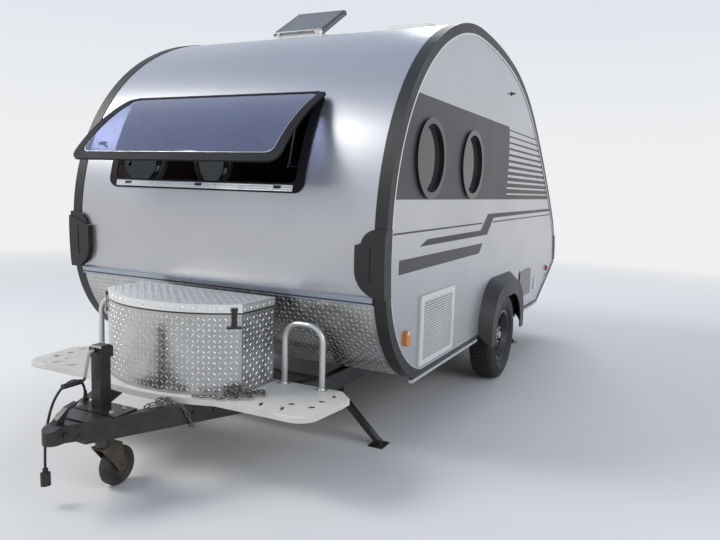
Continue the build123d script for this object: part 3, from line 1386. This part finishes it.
tub_lid_low_z = tub_top_z + tub_seal
tub = tub_block(tub_outline(0), deck_top_z, tub_top_z)
tub = tub - tub_block(tub_outline(-tub_wall, tub_wall), deck_top_z + tub_wall, tub_top_z + 1)
tub_lid = tub_block(tub_outline(tub_lid_over), tub_lid_low_z, tub_lid_top_z)
tub_lid = tub_lid - tub_block(tub_outline(tub_lid_over - tub_lid_wall, tub_lid_wall), tub_lid_low_z - 1,
                              tub_lid_top_z - tub_lid_wall)
seal_outline = tub_outline(tub_lid_over + tub_seal_proud, knuckle_gap) - tub_outline(-tub_wall, tub_wall)
tub_seal_ring = tub_block(seal_outline, tub_top_z + skin_gap, tub_lid_low_z)

tub_axis_x = tub_rear_x - tub_hinge_radius - 1
tub_axis_z = tub_top_z + tub_seal / 2
hinge_reach = tub_half - tub_hinge_inset
strap_reach = hinge_reach - tub_knuckle - 1


def tub_bar(low, high, radius):
    # A round bar on the tub's hinge line, its ends measured from the tub's middle.
    return rod((tub_axis_x, tub_mid_y + low, tub_axis_z), (tub_axis_x, tub_mid_y + high, tub_axis_z), radius)


for low in (-hinge_reach, hinge_reach - tub_knuckle):
    leaf = box((tub_axis_x - 2, tub_rear_x), (tub_mid_y + low, tub_mid_y + low + tub_knuckle),
               (tub_top_z - 30, tub_axis_z - 4))
    tub = tub + tub_bar(low, low + tub_knuckle, tub_hinge_radius) + leaf
tub = tub + tub_bar(-hinge_reach, hinge_reach, tub_pin_radius)
tub_strap = box((tub_axis_x, tub_rear_x + 2), (tub_mid_y - strap_reach, tub_mid_y + strap_reach),
                (tub_lid_low_z + 0.5, tub_lid_low_z + 5))
tub_lid = tub_lid + tub_strap + tub_bar(-strap_reach, strap_reach, tub_hinge_radius)
tub_lid = tub_lid - tub_bar(-hinge_reach, hinge_reach, tub_pin_radius + pin_gap)

# Each latch hangs from the lid's skirt near an end of the bow.
# It has a head, a strap over the seal and a bar to pull.
bow_radius = (tub_half**2 + tub_bow**2) / (2 * tub_bow)
latch_y = tub_half - latch_inset
latch_turn = math.degrees(math.asin(latch_y / bow_radius))
latch_x = tub_side_x + tub_bow - bow_radius + bow_radius * math.cos(math.radians(latch_turn))
lid_room = tub_block(tub_outline(tub_lid_over + 0.1), tub_lid_low_z - 1, tub_lid_top_z)


def latch(side):
    strap_out = latch_stand_off + latch_strap_thick
    head = box((-latch_stand_off, strap_out + 3), (-latch_head_width / 2, latch_head_width / 2),
               (latch_high_z - latch_head, latch_high_z))
    strap = box((latch_stand_off, strap_out), (-latch_strap_width / 2, latch_strap_width / 2),
                (latch_low_z, latch_high_z))
    bar = box((strap_out - latch_bar_thick + 3, strap_out + 3), (-latch_bar_width / 2, latch_bar_width / 2),
              (latch_low_z, latch_low_z + latch_bar_height))
    bar = fillet(bar.edges().filter_by(Axis.X), latch_bar_height / 2 - 1)
    place = Pos(latch_x, tub_mid_y + side * latch_y, 0) * Rot(0, 0, side * latch_turn)
    return place * (head + strap + bar) - lid_room


tub_seal_latches = Compound(children=[tub_seal_ring, latch(1), latch(-1)])

# Stabiliser legs under the rails, each on a pin between two ears
stabiliser_span_y = stabiliser_foot_y - rail_y
stabiliser_rise = stabiliser_pivot_z - foot_thick
leg_length = math.hypot(stabiliser_span_y, stabiliser_rise)
leg_slope = math.degrees(math.atan2(stabiliser_rise, stabiliser_span_y))
leg_half = stabiliser_width / 2
ear_in = leg_half + ear_gap
ear_out = ear_in + ear_thick


def pivot_bar(x, reach, radius):
    return rod((x - reach, rail_y, stabiliser_pivot_z), (x + reach, rail_y, stabiliser_pivot_z), radius)


legs = {}
for x, place in zip(stabiliser_xs, ("front", "rear")):
    bracket = box((x - ear_out, x + ear_out), (rail_y - ear_half - 2, rail_y + ear_half + 2),
                  (beam_bottom_z - ear_thick, beam_bottom_z))
    for low in (x - ear_out, x + ear_in):
        bracket = bracket + box((low, low + ear_thick), (rail_y - ear_half, rail_y + ear_half),
                                (stabiliser_pivot_z - ear_half + 4, beam_bottom_z - ear_thick + 1))
    rail = rail + bracket + pivot_bar(x, ear_out + 4, stabiliser_pin)
    bar = box((x - leg_half, x + leg_half), (-14, leg_length - 16),
              (-stabiliser_depth / 2, stabiliser_depth / 2))
    groove_half = leg_half - stabiliser_wall
    channel = box((x - groove_half, x + groove_half), (24, leg_length - 30),
                  (-stabiliser_depth / 2 - 1, stabiliser_depth / 2 - stabiliser_wall))
    leg = Pos(0, rail_y, stabiliser_pivot_z) * Rot(-leg_slope, 0, 0) * (bar - channel)
    foot_mid_y = stabiliser_foot_y - 10
    leg = leg + box((x - foot_length / 2, x + foot_length / 2),
                    (foot_mid_y - foot_width / 2, foot_mid_y + foot_width / 2), (0, foot_thick))
    shoe = box((x - leg_half, x + leg_half), (stabiliser_foot_y + 4 - shoe_length, stabiliser_foot_y + 4),
               (foot_thick - 1, foot_thick + shoe_height))
    leg = (leg + shoe) - pivot_bar(x, ear_out, stabiliser_pin + pin_gap)
    legs["stabiliser_" + place + "_left"] = leg
    legs["stabiliser_" + place + "_right"] = mirror_y(leg)

frame_rails = both(rail)

# Rear bumper beam with its two brackets, and the number plate's holder on the cabin's tail
bumper = box((tail_x, tail_x + bumper_depth), (-bumper_half, bumper_half),
             (bumper_z - bumper_height / 2, bumper_z + bumper_height / 2))
bumper = fillet(bumper.edges().filter_by(Axis.Z), bumper_corner)
bracket_low_z, bracket_high_z = beam_bottom_z + cross_tube_up, beam_top_z - cross_tube_down
for y in (rail_y, -rail_y):
    span = (y - bracket_half, y + bracket_half)
    bumper = bumper + box((tail_x + bumper_depth - 6, rail_rear_x), span, (bracket_low_z, bracket_high_z))
    bumper = bumper + box((tail_x + 10, tail_x + bumper_depth), span, (bracket_low_z, bumper_z))
rear_face_x = skin_run(-1, 0, rear_arcs)[1][0]
plate_holder = box((rear_face_x - plate_thick, rear_face_x - skin_gap), (-plate_width / 2, plate_width / 2),
                   (plate_low_z, plate_low_z + plate_height))


def cord_radii(route):
    # Radius of each bend of a cord, as large as its two runs allow.
    radii = []
    points = [Vector(*p) for p in route]
    for before, at, after in zip(points, points[1:], points[2:]):
        turn = (at - before).get_angle(after - at)
        shorter = min((at - before).length, (after - at).length)
        radii.append(0.45 * shorter / math.tan(math.radians(turn / 2)))
    return radii


cable_route = [(jack_x + x, y, beam_top_z + z) for x, y, z in cable_points]
radii = cord_radii(cable_route)
cable_path = FilletPolyline(*cable_route, radius=radii)
cable = sweep(Plane(origin=cable_path @ 0, z_dir=cable_path % 0) * Circle(cable_radius), path=cable_path)
cable_share = cable.volume / (math.pi * cable_radius**2 * cable_path.length)
print("cable length", round(cable_path.length), "bend radii", [round(r) for r in radii])
print("cable volume over section times length", round(cable_share, 4))
plug_top = Vector(*cable_route[-1])
plug_way = (plug_top - Vector(*cable_route[-2])).normalized()
neck_end = plug_top + plug_way * plug_neck
plug_end = plug_top + plug_way * plug_length
plug = rod(tuple(plug_top), tuple(neck_end), plug_neck_radius)
plug = plug + rod(tuple(neck_end - plug_way * 2), tuple(plug_end), plug_radius)
gland_x, gland_y, gland_z = cable_route[0]
cable_gland = rod((gland_x, gland_y, gland_z - gland_height), (gland_x, gland_y, gland_z), gland_radius)

if __name__ == "__main__":
    os.makedirs("parts", exist_ok=True)
    housings = [*both(front_housing).solids(), *both(tail_housing).solids()]
    groups = {
        "front_wall": front_wall,
        "rear_wall": rear_wall,
        "roof": roof,
        "floor": floor,
        "side_wall_left": side_wall_left,
        "side_wall_right": side_wall_right,
        "wheel_boxes": wheel_boxes,
        "fenders": fenders,
        "edge_trims": edge_trims,
        "edge_beads": edge_beads,
        "sill_skirts": skirts,
        "belt_moulding": belt_moulding,
        "stone_guard": stone_guard,
        "corner_housings": Compound(children=housings),
        "window_frame": window_frame + stay_posts[0] + stay_posts[1],
        "window_lid": window_lid,
        "window_lid_border": window_lid_border,
        "window_stay_tubes": Compound(children=stay_tubes),
        "window_stay_rods": Compound(children=stay_rods),
        "rear_window": rear_window,
        "porthole_rings": Compound(children=porthole_rings),
        "porthole_panes": Compound(children=porthole_panes),
        "door": door,
        "door_fittings": Compound(children=[door_ring, door_handle]),
        "door_pane": door_pane,
        "door_frame": door_frame,
        "side_vent": side_vent,
        "service_fittings": Compound(children=service_fittings),
        "hatch_flap": hatch_flap,
        "roof_vent_base": roof_vent_base,
        "roof_vent_lid": roof_vent_lid,
        "roof_cap": roof_cap,
        "marker_lamps": Compound(children=marker_lamps),
        "frame_rails": frame_rails,
        "tongue_beams": tongue_beams,
        "cross_members": Compound(children=cross_members),
        "axle_beam": axle_beam,
        "tyre_left": tyre,
        "tyre_right": mirror_y(tyre),
        "rim_left": wheel_rim,
        "rim_right": mirror_y(wheel_rim),
        "coupler": coupler,
        "jack_tube": jack_tube + cable_gland,
        "jack_leg": jack_leg,
        "jack_crank": crank,
        "caster_fork": caster_fork,
        "caster_wheel": caster_wheel,
        "platform": platform,
        "hoops": Compound(children=hoops),
        "tub": tub,
        "tub_lid": tub_lid,
        "tub_seal_latches": tub_seal_latches,
        "bumper": bumper,
        "plate_holder": plate_holder,
        "cable": cable,
        "cable_plug": plug,
    }
    for name, shape in groups.items():
        write(name, shape)
    for name, shape in legs.items():
        write(name, shape)
